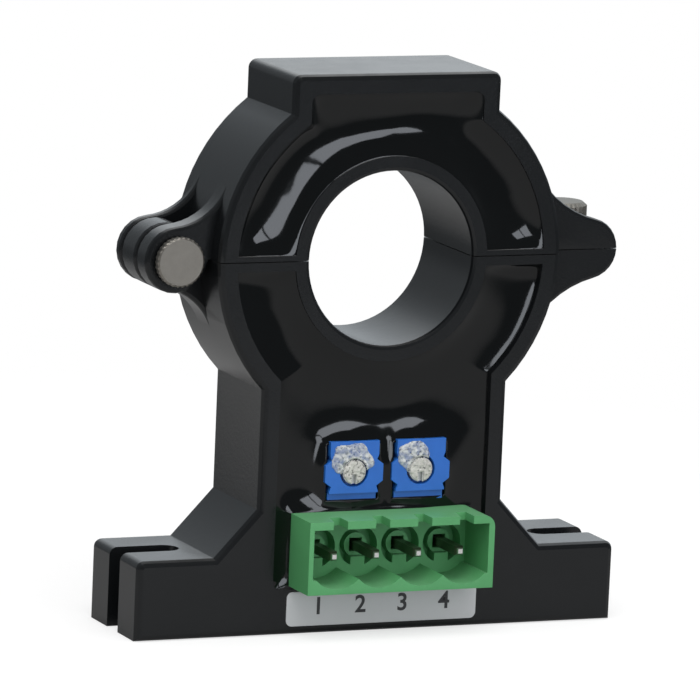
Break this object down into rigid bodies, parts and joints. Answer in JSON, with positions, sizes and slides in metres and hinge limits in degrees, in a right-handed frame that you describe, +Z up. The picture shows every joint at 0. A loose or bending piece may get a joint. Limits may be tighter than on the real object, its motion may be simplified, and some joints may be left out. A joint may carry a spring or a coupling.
{
  "type": "split-core hall effect current sensor",
  "caption": "Split-core current sensor: hinged ring round a conductor window, knurled clamp screw, potted neck with trimmers and a pin header, slotted feet.",
  "frame": {"origin": "middle of the base's flat underside: centre of the feet's length and of the housing's depth", "axes": "+X to the right seen from the front, -Y out of the front (the side with the terminals), +Z up from the base to the ring"},
  "size_m": [0.0578, 0.0192, 0.0627],
  "materials": {
    "housing": "satin black moulding",
    "potting": "glossy black resin",
    "core": "wound strip core, cut ends ground",
    "package": "moulded black package",
    "board": "green glass laminate",
    "ceramic": "fired ceramic",
    "header": "green nylon",
    "pin": "tinned",
    "trimmer": "blue moulding with lacquer",
    "rotor": "bright",
    "steel": "knurled, satin",
    "insert": "turned",
    "label": "silver-grey film"
  },
  "bodies": {
    "lower_half": {"lower_housing": "housing", "lower_potting": "potting", "lower_core_left": "core", "lower_core_right": "core", "hall_element": "package", "circuit_board": "board", "amplifier_chip": "package", "regulator_chip": "package", "upper_capacitor": "ceramic", "lower_capacitor": "ceramic", "input_diode": "package", "output_diode": "package", "terminal_header": "header", "terminal_pin_1": "pin", "terminal_pin_2": "pin", "terminal_pin_3": "pin", "terminal_pin_4": "pin", "trimmer_body_zero": "trimmer", "trimmer_body_gain": "trimmer", "clamp_insert": "insert", "label_plate": "label"},
    "upper_half": {"upper_housing": "housing", "upper_potting": "potting", "upper_core": "core", "hinge_pin": "steel"},
    "screw": {"clamp_screw": "steel"},
    "zero_rotor": {"trimmer_rotor_zero": "rotor"},
    "gain_rotor": {"trimmer_rotor_gain": "rotor"}
  },
  "joints": [
    {"name": "upper_half_swing", "type": "hinge", "parent": "lower_half", "child": "upper_half", "pos_m": [-0.02455, 0, 0.042], "axis": [0, -1, 0], "range_deg": [0, 200]},
    {"name": "clamp_screw_travel", "type": "slide", "parent": "upper_half", "child": "screw", "axis": [0, 0, 1], "range_m": [0, 0.003]},
    {"name": "zero_trimmer_turn", "type": "hinge", "parent": "lower_half", "child": "zero_rotor", "pos_m": [-0.00346, -0.007, 0.01815], "axis": [0, -1, 0], "range_deg": [-120, 120]},
    {"name": "gain_trimmer_turn", "type": "hinge", "parent": "lower_half", "child": "gain_rotor", "pos_m": [0.0046, -0.007, 0.01815], "axis": [0, -1, 0], "range_deg": [-120, 120]}
  ]
}
